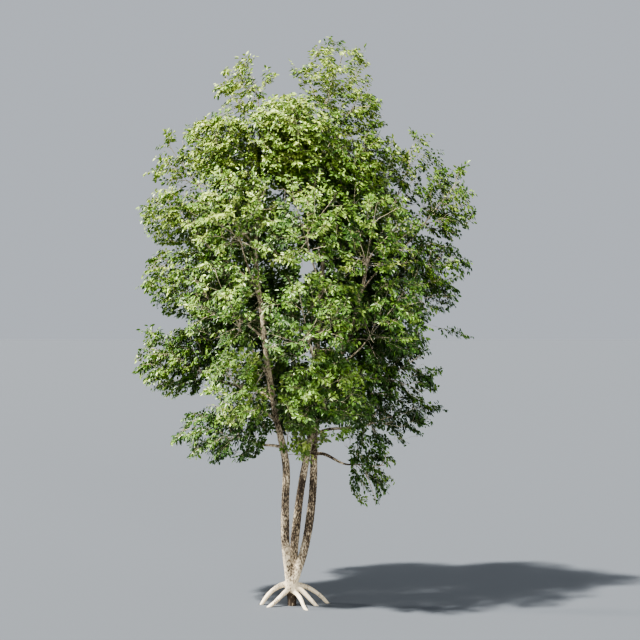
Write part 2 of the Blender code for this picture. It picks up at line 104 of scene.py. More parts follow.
# %% The masses of foliage
# its stem, the height where its bough leaves the stem, its centre, half width, half height
# (no height: the mass stands on the stem's tip; a height below zero: it grows there from the stem itself)
MASSES = {
    "top_right": ("right", None, (0.62, 0.04, 7.42), 0.55, 0.58),
    "top_left": ("left", None, (-0.70, 0.00, 7.22), 0.42, 0.50),
    "neck_right": ("right", -6.30, (0.80, -0.24, 6.88), 0.60, 0.42),
    "dome_left": ("left", -6.05, (-0.88, -0.30, 6.42), 0.68, 0.56),
    "dome_mid": ("right", -6.05, (0.00, -0.45, 6.58), 0.72, 0.62),
    "dome_right": ("middle", None, (0.92, -0.25, 6.24), 0.66, 0.60),
    "dome_back": ("right", 5.65, (0.12, 0.75, 6.40), 0.74, 0.64),
    "shoulder_left": ("left", 5.00, (-1.56, 0.15, 6.20), 0.47, 0.50),
    "upper_left": ("left", 4.45, (-1.58, -0.15, 5.47), 0.56, 0.50),
    "shoulder_right": ("middle", 4.75, (1.60, 0.20, 6.02), 0.44, 0.62),
    "upper_right": ("middle", 4.40, (2.12, 0.00, 5.66), 0.53, 0.58),
    "front_left": ("left", 4.15, (-0.80, -1.00, 5.50), 0.74, 0.68),
    "front_mid": ("middle", 3.55, (0.12, -1.35, 5.35), 0.74, 0.68),
    "front_right": ("middle", 4.10, (1.10, -0.95, 5.20), 0.74, 0.68),
    "back_left": ("left", 4.75, (-0.85, 1.05, 5.45), 0.84, 0.74),
    "back_right": ("right", 4.55, (0.95, 1.20, 5.40), 0.84, 0.76),
    "side_left": ("left", 3.70, (-1.52, -0.15, 4.60), 0.63, 0.58),
    "side_right": ("middle", 3.75, (1.88, 0.05, 4.65), 0.58, 0.70),
    "mid_front_left": ("left", 3.10, (-0.85, -1.15, 4.25), 0.74, 0.66),
    "mid_front": ("middle", 2.90, (0.18, -1.50, 4.05), 0.76, 0.66),
    "mid_front_right": ("middle", 3.25, (1.30, -1.05, 4.05), 0.74, 0.66),
    "mid_back_left": ("right", 3.70, (-0.75, 1.30, 4.30), 0.84, 0.70),
    "mid_back_right": ("right", 3.30, (1.00, 1.35, 4.25), 0.84, 0.70),
    "low_left": ("left", 2.85, (-1.64, 0.00, 3.42), 0.60, 0.52),
    "lowest_left": ("left", 2.20, (-0.98, -0.25, 2.42), 0.76, 0.42),
    "low_front": ("left", 2.55, (-0.72, -0.95, 3.10), 0.56, 0.58),
    "low_front_right": ("middle", 2.45, (0.48, -1.00, 2.95), 0.72, 0.60),
    "low_right": ("middle", 2.75, (1.53, -0.05, 3.30), 0.62, 0.58),
    "lowest_right": ("right", 2.35, (1.48, 0.35, 2.62), 0.56, 0.42),
    "hanging": ("right", 2.12, (1.10, -0.10, 1.93), 0.38, 0.58),
    "by_stems": ("left", -2.15, (0.14, -0.30, 2.28), 0.34, 0.34),
    "low_back": ("right", -2.45, (0.10, 0.95, 3.10), 0.76, 0.56),
}
ORDER = list(MASSES)
CENTRES = np.array([MASSES[name][2] for name in ORDER])
HALVES = np.array([(MASSES[name][3], MASSES[name][3], MASSES[name][4]) for name in ORDER])
print(len(ORDER), "masses, centred from", CENTRES[:, 2].min(), "to", CENTRES[:, 2].max(), "m high")

# %% [markdown]
# ## Curves and tubes
#
# Every limb is a tapering tube along a curve. The same two curves serve from the stems to the finest
# shoot: a smooth one through given places, and a bend that leaves one limb in its own direction and
# arrives in another. Blender's own curve objects could do it too, but one by one, and the tree has
# thousands of twigs. So the points are worked out as arrays, and a tube is made for many paths at once.

# %% Curves
STEPS_BETWEEN = 24  # points of the smooth curve between two given places
BEND_REACH = 0.38  # how far a bend keeps to its first and last direction, beside its length


def unit(vectors):
    """Vectors of length 1, for one vector or for an array of them."""
    return vectors / np.maximum(np.linalg.norm(vectors, axis=-1, keepdims=True), 1e-9)


def smooth_path(places, count):
    """That many points, evenly spaced, on a Catmull-Rom curve through the given places."""
    places = np.array(places, float)
    ends = np.vstack([2 * places[0] - places[1], places, 2 * places[-1] - places[-2]])
    fine = []
    for a, b, c, d in zip(ends, ends[1:], ends[2:], ends[3:]):
        for t in np.linspace(0, 1, STEPS_BETWEEN, endpoint=False):
            fine.append(0.5 * (2 * b + (c - a) * t + (2 * a - 5 * b + 4 * c - d) * t**2
                               + (3 * b - a - 3 * c + d) * t**3))
    fine = np.array([*fine, places[-1]])
    along = np.concatenate([[0], np.cumsum(np.linalg.norm(np.diff(fine, axis=0), axis=1))])
    at = np.linspace(0, along[-1], count)
    return np.stack([np.interp(at, along, fine[:, axis]) for axis in range(3)], axis=1)


def bend_path(start, leaving, end, arriving, count):
    """A cubic curve from start to end that leaves and arrives in the two given directions."""
    reach = BEND_REACH * np.linalg.norm(end - start)
    first, second = start + leaving * reach, end - arriving * reach
    t = np.linspace(0, 1, count)[:, None]
    return ((1 - t) ** 3 * start + 3 * (1 - t) ** 2 * t * first
            + 3 * (1 - t) * t**2 * second + t**3 * end)


def taper(start, end, count, power=1.0):
    """Radii that fall from start to end. A power under 1 keeps the girth longer."""
    return end + (start - end) * (1 - np.linspace(0, 1, count)) ** power


left_line = smooth_path([(x, y, height) for height, x, y in STEMS["left"]], 40)
left_length = np.linalg.norm(np.diff(left_line, axis=0), axis=1).sum()
print("the left stem is", round(float(left_length), 2), "m long")

# %% Tubes
NEAR_UPRIGHT = 0.9  # a path steeper than this can't take its sides from the vertical


def tubes(paths, radii, sides):
    """Vertices and faces of open tubes along many paths of the same number of points."""
    paths, radii = np.asarray(paths, float), np.asarray(radii, float)
    number, rings, _ = paths.shape
    along = unit(np.gradient(paths, axis=1))
    hint = np.where(abs(along[:, :1, 2:]) > NEAR_UPRIGHT, np.array([1.0, 0, 0]), np.array([0, 0, 1.0]))
    across = unit(np.cross(along, hint))
    upward = np.cross(along, across)
    turn = np.linspace(0, math.tau, sides, endpoint=False)
    spoke = (across[:, :, None] * np.cos(turn)[:, None] + upward[:, :, None] * np.sin(turn)[:, None])
    verts = paths[:, :, None] + spoke * radii[:, :, None, None]
    index = np.arange(number * rings * sides).reshape(number, rings, sides)
    faces = np.stack([index[:, :-1], np.roll(index, -1, 2)[:, :-1], np.roll(index, -1, 2)[:, 1:],
                      index[:, 1:]], axis=-1)
    return verts.reshape(-1, 3), faces.reshape(-1, 4)


def mesh_object(name, verts, faces, paint, smooth=True):
    """One mesh object in the scene from arrays of vertices and faces."""
    mesh = bpy.data.meshes.new(name)
    mesh.from_pydata(verts.tolist(), [], faces.tolist())
    if smooth:
        mesh.shade_smooth()
    mesh.materials.append(paint)
    made = bpy.data.objects.new(name, mesh)
    bpy.context.scene.collection.objects.link(made)
    return made


trial = tubes(left_line[None], np.full((1, len(left_line)), STEM_RADIUS), 8)
print("an eight-sided tube along it has", len(trial[1]), "faces")

# %% [markdown]
# ## Leaf and twig colours
#
# The leaves are plain colours, from a pale yellow-green to a deep green, and each spray gets one of
# them. Part of that is chance, as in a real crown, where a shoot's leaves unfold together and age
# together; part is painted light: lighter greens where the light falls on the crown, deeper ones where it
# shades itself. Sheets of painted leaves would look flat from close by, where a plain colour on real leaf
# shapes holds from everywhere.

# %% Plain materials
# from the palest green to the deepest; the score below deals them partly by chance, partly as painted light
LEAF_COLOURS = {
    "lit_young": (0.270, 0.355, 0.090),
    "light": (0.175, 0.270, 0.058),
    "fresh": (0.115, 0.205, 0.037),
    "mid": (0.078, 0.155, 0.028),
    "full": (0.050, 0.112, 0.020),
    "deep": (0.030, 0.074, 0.014),
}
LEAF_ROUGHNESS, SHOOT_ROUGHNESS, TWIG_ROUGHNESS = 0.42, 0.7, 0.8


def plain(name, colour, roughness, specular=0.5):
    """A material of one colour."""
    made = bpy.data.materials.new(name)
    made.use_nodes = True
    shader = made.node_tree.nodes["Principled BSDF"]
    shader.inputs["Base Color"].default_value = (*colour, 1)
    shader.inputs["Roughness"].default_value = roughness
    shader.inputs["Specular IOR Level"].default_value = specular
    return made


leaf_paints = {name: plain("leaf_" + name, colour, LEAF_ROUGHNESS) for name, colour in LEAF_COLOURS.items()}
shoot_paint = plain("shoot_bark", (0.34, 0.30, 0.20), SHOOT_ROUGHNESS)
twig_paint = plain("twig_bark", (0.42, 0.37, 0.29), TWIG_ROUGHNESS)
print(len(leaf_paints), "leaf greens")

# %% [markdown]
# ## The bark's colour
#
# The bark is pale grey-buff with darker flakes. Two noises make it: a fine one for the flakes, and a
# coarse one that makes whole patches paler or darker. Both are read at the place in space, squeezed along
# the height, so that the pattern runs with the wood and goes round the stems without a seam. Three values
# that change with the place then make it paler or darker: the roots and the collar are worn smooth and
# pale; the wood in the crown is paler, partly as younger bark and partly as painted light that lifts the
# stems out of the crown's shade; and under the collar, between the roots, the foot is darker, which is
# painted shade.

# %% Helpers for material nodes


def add_node(tree, kind, **values):
    """A new shader node of that kind, with its sockets set by name."""
    made = tree.nodes.new("ShaderNode" + kind)
    for name, value in values.items():
        made.inputs[name.replace("_", " ")].default_value = value
    return made


def joined(tree, kind, operation, *sources):
    """A maths node of that kind that works on the sources, in order."""
    made = add_node(tree, kind)
    made.operation = operation
    for socket, source in zip(made.inputs, sources):
        tree.links.new(source, socket)
    return made


def fade(tree, source, low, high, first, last):
    """A value that goes from first to last while the source goes from low to high."""
    made = add_node(tree, "MapRange", From_Min=low, From_Max=high, To_Min=first, To_Max=last)
    tree.links.new(source, made.inputs["Value"])
    return made.outputs["Result"]


# %% Flakes and patches
BARK_SQUEEZE = (1, 1, 0.45)
FLAKES_PER_M, PATCHES_PER_M, PATCH_SHARE = 64, 6, 0.62


def bark_pattern(tree, place):
    """The flakes alone, and the flakes with the patches added."""
    drawn = add_node(tree, "Mapping", Scale=BARK_SQUEEZE)
    tree.links.new(place.outputs["Object"], drawn.inputs["Vector"])
    flakes = add_node(tree, "TexNoise", Scale=FLAKES_PER_M, Detail=6, Roughness=0.62)
    patches = add_node(tree, "TexNoise", Scale=PATCHES_PER_M, Detail=2)
    for pattern in (flakes, patches):
        tree.links.new(drawn.outputs["Vector"], pattern.inputs["Vector"])
    both = joined(tree, "Math", "MULTIPLY_ADD", patches.outputs["Fac"])
    both.inputs[1].default_value = PATCH_SHARE
    tree.links.new(flakes.outputs["Fac"], both.inputs[2])
    return flakes.outputs["Fac"], both.outputs["Value"]


# %% Worn bark, and painted light and painted shade on the bark
# each from a low to a high place, and how much paler it makes the bark at either
WORN_HEIGHTS = (0.25, 0.95, 0.24, 0.0)
# paler in the crown: partly younger bark, partly painted light on stems that the crown shades
LIT_YOUNG_HEIGHTS = (2.1, 2.9, 0.0, 0.12)
# darker under the collar, between the roots: painted shade
FOOT_SHADE_REACH = (0.085, 0.115, -0.40, 0.0)
FOOT_SHADE_SQUEEZE = (1, 1, 0.35)


def bark_age_and_light(tree, place):
    """How much paler or darker the bark is at a place than its pattern alone: worn near the ground, paler in
    the crown as younger bark and painted light, and darker under the collar as painted shade.
    """
    axes = add_node(tree, "SeparateXYZ")
    tree.links.new(place.outputs["Object"], axes.inputs["Vector"])
    worn = fade(tree, axes.outputs["Z"], *WORN_HEIGHTS)
    # paler in the crown: partly younger bark, partly painted light
    lit_young = fade(tree, axes.outputs["Z"], *LIT_YOUNG_HEIGHTS)
    # darker near the middle under the collar: painted shade between the roots
    squeezed = joined(tree, "VectorMath", "MULTIPLY", place.outputs["Object"])
    squeezed.inputs[1].default_value = FOOT_SHADE_SQUEEZE
    inward = joined(tree, "VectorMath", "LENGTH", squeezed.outputs["Vector"])
    foot_shade = fade(tree, inward.outputs["Value"], *FOOT_SHADE_REACH)
    paler = joined(tree, "Math", "ADD", worn, lit_young)
    return joined(tree, "Math", "ADD", paler.outputs["Value"], foot_shade).outputs["Value"]


# %% The bark material
BARK_STOPS = (
    (0.73, (0.040, 0.029, 0.020)), (0.80, (0.110, 0.084, 0.060)), (0.88, (0.31, 0.26, 0.19)),
    (0.99, (0.68, 0.60, 0.46)),
)
BARK_ROUGHNESS = 0.85
FINE_LIFT, FINE_HEIGHT = 0.5, 0.004


def bark_material():
    """Pale flaking bark: a mottle of buff and grey-brown, with dark cracks drawn out along the wood."""
    made = bpy.data.materials.new("bark")
    made.use_nodes = True
    tree = made.node_tree
    shader = tree.nodes["Principled BSDF"]
    shader.inputs["Roughness"].default_value = BARK_ROUGHNESS
    place = add_node(tree, "TexCoord")
    flakes, pattern = bark_pattern(tree, place)
    tone = joined(tree, "Math", "ADD", pattern, bark_age_and_light(tree, place))
    ramp = add_node(tree, "ValToRGB")
    stops = ramp.color_ramp.elements
    stops[0].position, stops[1].position = BARK_STOPS[0][0], BARK_STOPS[-1][0]
    for position, _ in BARK_STOPS[1:-1]:
        stops.new(position)
    for stop, (_, colour) in zip(stops, BARK_STOPS):
        stop.color = (*colour, 1)
    tree.links.new(tone.outputs["Value"], ramp.inputs["Fac"])
    tree.links.new(ramp.outputs["Color"], shader.inputs["Base Color"])
    lift = add_node(tree, "Bump", Strength=FINE_LIFT, Distance=FINE_HEIGHT)
    tree.links.new(flakes, lift.inputs["Height"])
    tree.links.new(lift.outputs["Normal"], shader.inputs["Normal"])
    return made


bark_paint = bark_material()
print(len(bark_paint.node_tree.nodes), "nodes in the bark")

# %% [markdown]
# ## The root crown and the stems
#
# The three stems run together in a collar, and five roots arch out of it to the ground. Tubes alone would
# meet in hard creases, where living wood flows. So the tubes are joined into one skin with a voxel
# remesh, smoothed a little at the joints, and then every point is pushed in or out by a pattern drawn out
# along the wood: that is the bark's relief.

# %% Lines of the stems and roots
STEM_STEP, STEM_CUTS = 0.34, 4  # the model's step along a stem, and how often it is cut here
COLLAR_FLARE = 0.010
ROOT_POINTS, ROOT_END = 25, 1.08  # a root runs on a little under the ground, where it is cut off
ROOT_SWAY, ROOT_WAVES = 0.018, 7


def stem_path(name):
    """A stem's middle line."""
    places = [(x, y, height) for height, x, y in STEMS[name]]
    steps = round((places[-1][2] - places[0][2]) / STEM_STEP)
    return smooth_path(places, steps * STEM_CUTS + 1)


def stem_radii(path):
    """Even girth below the fork, then the stem's own taper."""
    free = np.clip((path[:, 2] - FORK_HEIGHT) / (path[-1, 2] - FORK_HEIGHT), 0, 1)
    radii = STEM_TIP_RADIUS + (STEM_RADIUS - STEM_TIP_RADIUS) * (1 - free) ** STEM_TAPER
    below = np.clip((FORK_HEIGHT - path[:, 2]) / (FORK_HEIGHT - COLLAR_HEIGHT), 0, 1)
    return radii + COLLAR_FLARE * below**2


def root_path(azimuth, reach, late, leaving):
    """From inside the collar, out and down to the ground."""
    turn = math.radians(azimuth)
    out = np.array((math.cos(turn), math.sin(turn), 0))
    aside = np.array((-out[1], out[0], 0))
    share = np.linspace(0, ROOT_END, ROOT_POINTS)
    sway = ROOT_SWAY * np.sin(share * ROOT_WAVES + azimuth)
    return np.array([out * reach * s + aside * w * s + (0, 0, leaving * (1 - s**late))
                     for s, w in zip(share, sway)])


stems = {name: (stem_path(name), stem_radii(stem_path(name))) for name in STEMS}
print({name: len(path) for name, (path, _) in stems.items()}, "points on the stems")

# %% The limbs that the skin joins
SKIN_LEAST = 0.016  # the skin ends where a stem gets thinner than this, and a plain tube goes on
ROOT_TAPER = 0.8
FOOT_HEIGHTS = (-0.03, 0.06, 0.16, 0.25, COLLAR_HEIGHT, 0.42)
FOOT_RADII = (FOOT_RADIUS, FOOT_RADIUS * 0.94, 0.072, 0.090, COLLAR_RADIUS, 0.070)

foot = np.array([(0, 0, height) for height in FOOT_HEIGHTS])
rough = [(foot, np.array(FOOT_RADII))]
for path, radii in stems.values():
    keep = radii > SKIN_LEAST
    rough.append((path[keep], radii[keep]))
for azimuth, reach, late, thick, thin, leaving in ROOTS.values():
    path = root_path(azimuth, reach, late, leaving)
    rough.append((path, taper(thick, thin, len(path), ROOT_TAPER)))
print(len(rough), "limbs in the skin")

# %% Closed tubes along them, as one mesh
SKIN_SIDES = 16


def capped(faces, rings, sides):
    """The faces of one tube with its two ends closed."""
    return [list(face) for face in faces] + [list(range(sides))[::-1],
                                             list(range((rings - 1) * sides, rings * sides))]


all_verts, all_faces = [], []
for path, radii in rough:
    verts, faces = tubes(path[None], radii[None], SKIN_SIDES)
    base = sum(len(v) for v in all_verts)
    all_verts.append(verts)
    all_faces += [[base + i for i in face] for face in capped(faces, len(path), SKIN_SIDES)]
skin_mesh = bpy.data.meshes.new("trunk_skin")
skin_mesh.from_pydata(np.vstack(all_verts).tolist(), [], all_faces)
skin_mesh.materials.append(bark_paint)
trunk_skin = bpy.data.objects.new("trunk_skin", skin_mesh)
bpy.context.scene.collection.objects.link(trunk_skin)
print("tubes:", len(skin_mesh.polygons), "faces")

# %% One skin
SKIN_VOXEL = 0.014
FLOW, FLOW_ROUNDS = 0.5, 4

remesh = trunk_skin.modifiers.new("one skin", "REMESH")
remesh.mode = "VOXEL"
remesh.voxel_size = SKIN_VOXEL
flow = trunk_skin.modifiers.new("flow", "SMOOTH")
flow.factor, flow.iterations = FLOW, FLOW_ROUNDS
bpy.context.view_layer.objects.active = trunk_skin
trunk_skin.select_set(True)
bpy.ops.object.modifier_apply(modifier="one skin")
bpy.ops.object.modifier_apply(modifier="flow")
print("skin:", len(skin_mesh.vertices), "points")

# %% [markdown]
# The relief has two sizes: soft ribs and hollows a hand long, as the stems of a grown maple have, and
# small plates and cracks on them. Both are noise read at a place that is squeezed along the height, so
# that they run with the wood. Below ground level nothing may show, so the lowest points are laid on the
# ground.

# %% Bark relief
RIBS_PER_M, RIB_DEPTH = (16, 16, 2.2), 0.10  # the depth is a share of the girth
PLATES_PER_M, PLATE_DEPTH = (62, 62, 17), 0.0022
PLATE_ROUGHNESS, PLATE_GAP, PLATE_SIZES = 0.8, 2.1, 4
FULL_GIRTH = 0.03  # wood thinner than this has flatter plates


def bark_relief(place, girth):
    """How far the bark stands out at a place: ribs that follow the girth, and plates on them."""
    ribs = noise.noise(Vector([at * often for at, often in zip(place, RIBS_PER_M)]))
    read_at = Vector([at * often for at, often in zip(place, PLATES_PER_M)])
    plates = noise.fractal(read_at, PLATE_ROUGHNESS, PLATE_GAP, PLATE_SIZES)
    return girth * (RIB_DEPTH * ribs) + PLATE_DEPTH * plates * min(1.0, girth / FULL_GIRTH)


def give_relief(thing, girth_at):
    """Pushes every point of a mesh in or out along its normal."""
    mesh = thing.data
    places = np.zeros(len(mesh.vertices) * 3)
    normals = np.zeros(len(mesh.vertices) * 3)
    mesh.vertices.foreach_get("co", places)
    mesh.vertices.foreach_get("normal", normals)
    places, normals = places.reshape(-1, 3), normals.reshape(-1, 3)
    girths = girth_at(places)
    lift = np.array([bark_relief(place, girth) for place, girth in zip(places.tolist(), girths.tolist())])
    places += normals * lift[:, None]
    places[:, 2] = np.maximum(places[:, 2], 0)
    mesh.vertices.foreach_set("co", places.ravel())
    mesh.update()
    return lift


# %% Relief on the skin
ROOT_GIRTH = 0.03  # the radius that all the roots are given here


def stem_girth(places):
    """The nearest stem's radius at those places, and one radius for all below the collar."""
    best = np.full(len(places), math.inf)
    girth = np.full(len(places), ROOT_GIRTH)
    for path, radii in stems.values():
        for point, radius in zip(path[::2], radii[::2]):
            far = np.linalg.norm(places - point, axis=1)
            girth = np.where(far < best, radius, girth)
            best = np.minimum(far, best)
    return np.where(places[:, 2] < COLLAR_HEIGHT, ROOT_GIRTH, girth)


skin_lift = give_relief(trunk_skin, stem_girth)
skin_mesh.shade_smooth()
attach(trunk_skin, "root")
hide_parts("trunk", "stem_left", "stem_middle", "stem_right")
print("relief from", round(skin_lift.min() * 1000, 1), "to", round(skin_lift.max() * 1000, 1), "mm")

# %% [markdown]
# ## The boughs
#
# A bough leaves its stem at an angle, bends towards the mass that it feeds, and ends inside it as a twig.
# It starts on the stem's middle line, so that the bark skin closes round it, and it is made as a tube
# with the same relief as the stems. The thin tops of the stems, which a skin of this size can't hold, are
# tubes too.

# %% The tops of the stems
BOUGH_POINTS = 41
TOP_OVERLAP = 1.35  # a top starts inside the skin, where the stem is this much thicker than the skin's least
limb_points, limb_girths = [], []
bough_paths, bough_radii = [], []
for path, radii in stems.values():
    limb_points.append(path)
    limb_girths.append(radii)
    thin = np.flatnonzero(radii < SKIN_LEAST * TOP_OVERLAP)[0]
    bough_paths.append(smooth_path(path[thin:], BOUGH_POINTS))
    bough_radii.append(np.interp(np.linspace(0, 1, BOUGH_POINTS), np.linspace(0, 1, len(path) - thin),
                                 radii[thin:]))
print("the tops start at", [round(float(line[0, 2]), 2) for line in bough_paths], "m")

# %% The boughs' lines
BOUGH_SHARE, BOUGH_LEAST, BOUGH_TAPER = 0.50, 0.013, 0.9  # the share is of the stem's radius
BOUGH_UP, BOUGH_OUT = 0.55, 0.9  # how much a bough leaves along its stem, and how much towards its mass
ENTRY_SHARE, ENTRY_RISE = 0.72, 0.10
TWIG_RADIUS = 0.0095
STEM_BORN = 1.2  # a mass that grows from a stem itself starts with a thicker twig


def nearest(path, height):
    """The number of the path's point nearest to that height."""
    return int(np.argmin(abs(path[:, 2] - height)))


def space_of(mass):
    """The centre and the half sizes of the mass's ellipsoid."""
    return CENTRES[ORDER.index(mass)], HALVES[ORDER.index(mass)]


def entry_of(mass, start):
    """Where the bough enters the mass, on the stem's side of it, and the direction there."""
    centre, half = space_of(mass)
    entry = centre + unit((start - centre) / half) * half * ENTRY_SHARE
    return entry, unit(centre - entry + np.array((0, 0, ENTRY_RISE)))


begins = {}  # where a mass's own wood starts, its direction there and its radius
for mass, (stem, leaves_at, *_) in MASSES.items():
    path, radii = stems[stem]
    if leaves_at is None:
        begins[mass] = (path[-1], unit(path[-1] - path[-2]), radii[-1])
        continue
    at = nearest(path, abs(leaves_at))
    start, up = path[at], unit(path[at + 1] - path[at - 1])
    centre, _ = space_of(mass)
    leaving = unit(BOUGH_UP * up + unit(centre - start) * BOUGH_OUT)
    if leaves_at < 0:
        begins[mass] = (start, leaving, TWIG_RADIUS * STEM_BORN)
        continue
    entry, arriving = entry_of(mass, start)
    bough = bend_path(start, leaving, entry, arriving, BOUGH_POINTS)
    thick = max(BOUGH_SHARE * radii[at], BOUGH_LEAST)
    bough_paths.append(bough)
    bough_radii.append(taper(thick, TWIG_RADIUS, BOUGH_POINTS, BOUGH_TAPER))
    limb_points.append(bough)
    limb_girths.append(bough_radii[-1])
    begins[mass] = (entry, unit(bough[-1] - bough[-2]), TWIG_RADIUS)
limb_points, limb_girths = np.vstack(limb_points), np.concatenate(limb_girths)
print(len(bough_paths), "boughs and tops")

# %% The boughs' mesh
BOUGH_SIDES = 10
bough_verts, bough_faces = tubes(np.array(bough_paths), np.array(bough_radii), BOUGH_SIDES)
boughs = mesh_object("boughs", bough_verts, bough_faces, bark_paint)
girth_by_point = np.repeat(np.concatenate(bough_radii), BOUGH_SIDES)
give_relief(boughs, lambda places: girth_by_point)
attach(boughs, "root")
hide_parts(*bough_nodes)
print("boughs:", len(boughs.data.polygons), "faces")

# %% [markdown]
# ## How a mass grows
#
# Growth is one rule, used at every size. Places are scattered in the mass's own space, each as far as it
# can be from those already taken, and a twig grows to each from the nearest wood. The first round gives the
# main twigs, by the model's rule but without the gap that the model keeps between two masses. So they are
# not all the model's own: about one side twig in five ends somewhere else. The second round gives
# branchlets, one to each quarter of a metre or so, and more of them near the outside, where the light is.
# That is what makes a crown look like layers with air between.

# %% A mass's own space
CROWN_MIDDLE = np.array((0.2, 0.1, 4.5))
CROWN_CORE = np.array((1.75, 1.65, 2.3))  # half sizes of the crown's full middle
CORE_REACH = 1.35  # in the core a mass reaches this many times as far as its own ellipsoid


def in_core(points):
    """Which points lie in the full middle of the crown."""
    return np.linalg.norm((points - CROWN_MIDDLE) / CROWN_CORE, axis=1) < 1


def in_space(mass, points):
    """Which points keep to the mass's own space: inside its reach, and nearer to it than to any other."""
    points = np.atleast_2d(points)
    far = np.linalg.norm((points[:, None] - CENTRES[None]) / HALVES[None], axis=2)
    own = far[:, ORDER.index(mass)]
    others = np.delete(far, ORDER.index(mass), axis=1)
    return (own <= np.where(in_core(points), CORE_REACH, 1.0)) & (own <= others.min(axis=1))


print("masses centred in the core:", int(in_core(CENTRES).sum()), "of", len(ORDER))

# %% The rule of growth
FAR_COST, AHEAD_GAIN, START_COST = 1.4, 0.7, 0.35


def spread(spots, first, count):
    """That many of the spots, each the farthest from all those taken before it."""
    far = np.linalg.norm(spots - first, axis=1)
    taken = []
    for _ in range(min(count, len(spots))):
        taken.append(spots[int(np.argmax(far))])
        far = np.minimum(far, np.linalg.norm(spots - taken[-1], axis=1))
    return np.array(taken)


def join_cost(places, onward, tip, start):
    """How badly places on the wood suit as the root of a twig to that tip: far off, or pointing back."""
    way = tip - places
    ahead = (unit(onward) * unit(way)).sum(axis=-1)
    from_tip = np.linalg.norm(way, axis=-1) * (FAR_COST - AHEAD_GAIN * ahead)
    return from_tip + START_COST * np.linalg.norm(places - start, axis=-1)


# %% The tips of the main twigs
SEED = 7
TWIGS_PER_AREA, LEAST_TWIGS = 2.3, 3
TIP_SHARE = 0.78  # a tip stays within this share of the way to the surface
MAIN_SPOTS, MAIN_LEAST = 2500, 0.4  # places tried, and how far from the centre they start


def main_tips(mass, start, rng):
    """The tips of the mass's main side twigs, by the model's rule without its gap between masses."""
    centre, half = space_of(mass)
    spots = np.array([[rng.uniform(-1, 1) for _ in range(3)] for _ in range(MAIN_SPOTS)]) * CORE_REACH
    spots = spots[np.linalg.norm(spots, axis=1) > MAIN_LEAST]
    inner = centre + spots * half
    spots = inner[in_space(mass, centre + spots * half / TIP_SHARE)]
    return spread(spots, start, max(LEAST_TWIGS, round(TWIGS_PER_AREA * math.pi * half[0] * half[2])))


# %% Main twigs
SIDE_TWIG_RADIUS, TWIG_TIP_RADIUS, SIDE_TIP = 0.0072, 0.0045, 0.7
MAIN_POINTS = 13
MAIN_REACH, MAIN_RISE = 0.62, 0.25  # how far the first twig runs past the centre, and how much upwards


def main_twigs(mass):
    """The mass's own stem and its main side twigs, as fine paths with radii."""
    start, leaving, thick = begins[mass]
    centre, half = space_of(mass)
    far_end = centre + unit((centre - start) / half + np.array((0, 0, MAIN_RISE))) * half * MAIN_REACH
    first = bend_path(start, leaving, far_end, unit(far_end - centre), MAIN_POINTS)
    twigs = [(first, taper(thick, TWIG_TIP_RADIUS, MAIN_POINTS))]
    tips = main_tips(mass, start, random.Random(SEED + ORDER.index(mass)))
    for tip in sorted(tips, key=lambda place: np.linalg.norm(place - start)):
        joins = [(join_cost(line[j], line[j + 1] - line[j], tip, start), i, j)
                 for i, (line, _) in enumerate(twigs) for j in range(0, MAIN_POINTS - 1, 2)]
        _, i, j = min(joins)
        line = twigs[i][0]
        root, onward = line[j], unit(line[j + 1] - line[j])
        fresh = bend_path(root, unit(onward + unit(tip - root)), tip, unit(tip - root), MAIN_POINTS)
        thick = min(SIDE_TWIG_RADIUS, twigs[i][1][j])
        twigs.append((fresh, taper(thick, TWIG_TIP_RADIUS * SIDE_TIP, MAIN_POINTS)))
    return twigs


twigs_of = {mass: main_twigs(mass) for mass in ORDER}
all_twigs = [twig for twigs in twigs_of.values() for twig in twigs]
print(len(all_twigs), "main twigs")

# %% [markdown]
# How full a mass is depends on where it stands. Those that make the outline have less depth behind them
# and need more branchlets to look closed; those in front of the crown have the whole crown behind them.
# On a real tree a few twigs also outgrow the rest, and their single sprigs break the outline.

# %% How full each mass is
BRANCHLETS_PER_M3 = 50
FULLNESS = {  # times the usual number of branchlets
    "top_right": 1.5, "top_left": 2.1, "neck_right": 2.3, "dome_left": 3.1, "dome_mid": 3.1,
    "dome_right": 2.7, "dome_back": 1.5, "shoulder_left": 2.1, "upper_left": 2.2, "shoulder_right": 1.5,
    "upper_right": 2.2, "side_left": 2.0, "side_right": 2.2, "back_left": 1.4, "back_right": 1.4,
    "mid_back_left": 1.5, "mid_back_right": 1.5, "front_left": 0.70, "front_mid": 0.70,
    "front_right": 0.74, "mid_front_left": 0.68, "mid_front": 0.64, "mid_front_right": 0.76,
    "low_left": 2.4, "lowest_left": 1.3, "low_right": 2.2, "lowest_right": 2.0, "low_front": 1.3,
    "low_front_right": 1.45, "hanging": 2.3, "by_stems": 2.6, "low_back": 1.4,
}
print("fullness from", min(FULLNESS.values()), "to", max(FULLNESS.values()))

# %% Single sprigs
SPRIGS = {  # the tips of single twigs that stand out from the crown's outline
    "top_right": ((0.60, 0.02, 7.94), (0.36, -0.10, 7.80), (0.95, 0.00, 7.72), (0.10, -0.05, 7.52)),
    "top_left": ((-0.66, 0.00, 7.66), (-0.34, -0.08, 7.44), (-0.92, 0.05, 7.36)),
    "shoulder_left": ((-1.74, 0.10, 6.58), (-1.42, 0.05, 6.66), (-1.88, 0.10, 6.16)),
    "upper_left": ((-1.98, -0.15, 5.62),),
    "side_left": ((-2.00, -0.10, 4.58),),
    "low_left": ((-1.98, 0.00, 3.86), (-2.06, -0.10, 3.40)),
    "shoulder_right": ((1.78, 0.15, 6.62), (2.00, 0.10, 6.34)),
    "upper_right": ((2.38, 0.00, 6.12), (2.54, -0.05, 5.47)),
    "side_right": ((2.40, 0.05, 3.84), (2.44, 0.00, 4.86)),
    "lowest_right": ((2.02, 0.30, 2.78),),
}
print(sum(len(tips) for tips in SPRIGS.values()), "sprigs")

# %% The tips of the branchlets
BRANCHLET_SPOTS, NEAREST_TIP = 9000, 0.25
BRANCHLET_SHARE = 0.88
MIDDLE_CHANCE = 0.15  # the chance that a place at the very middle is kept


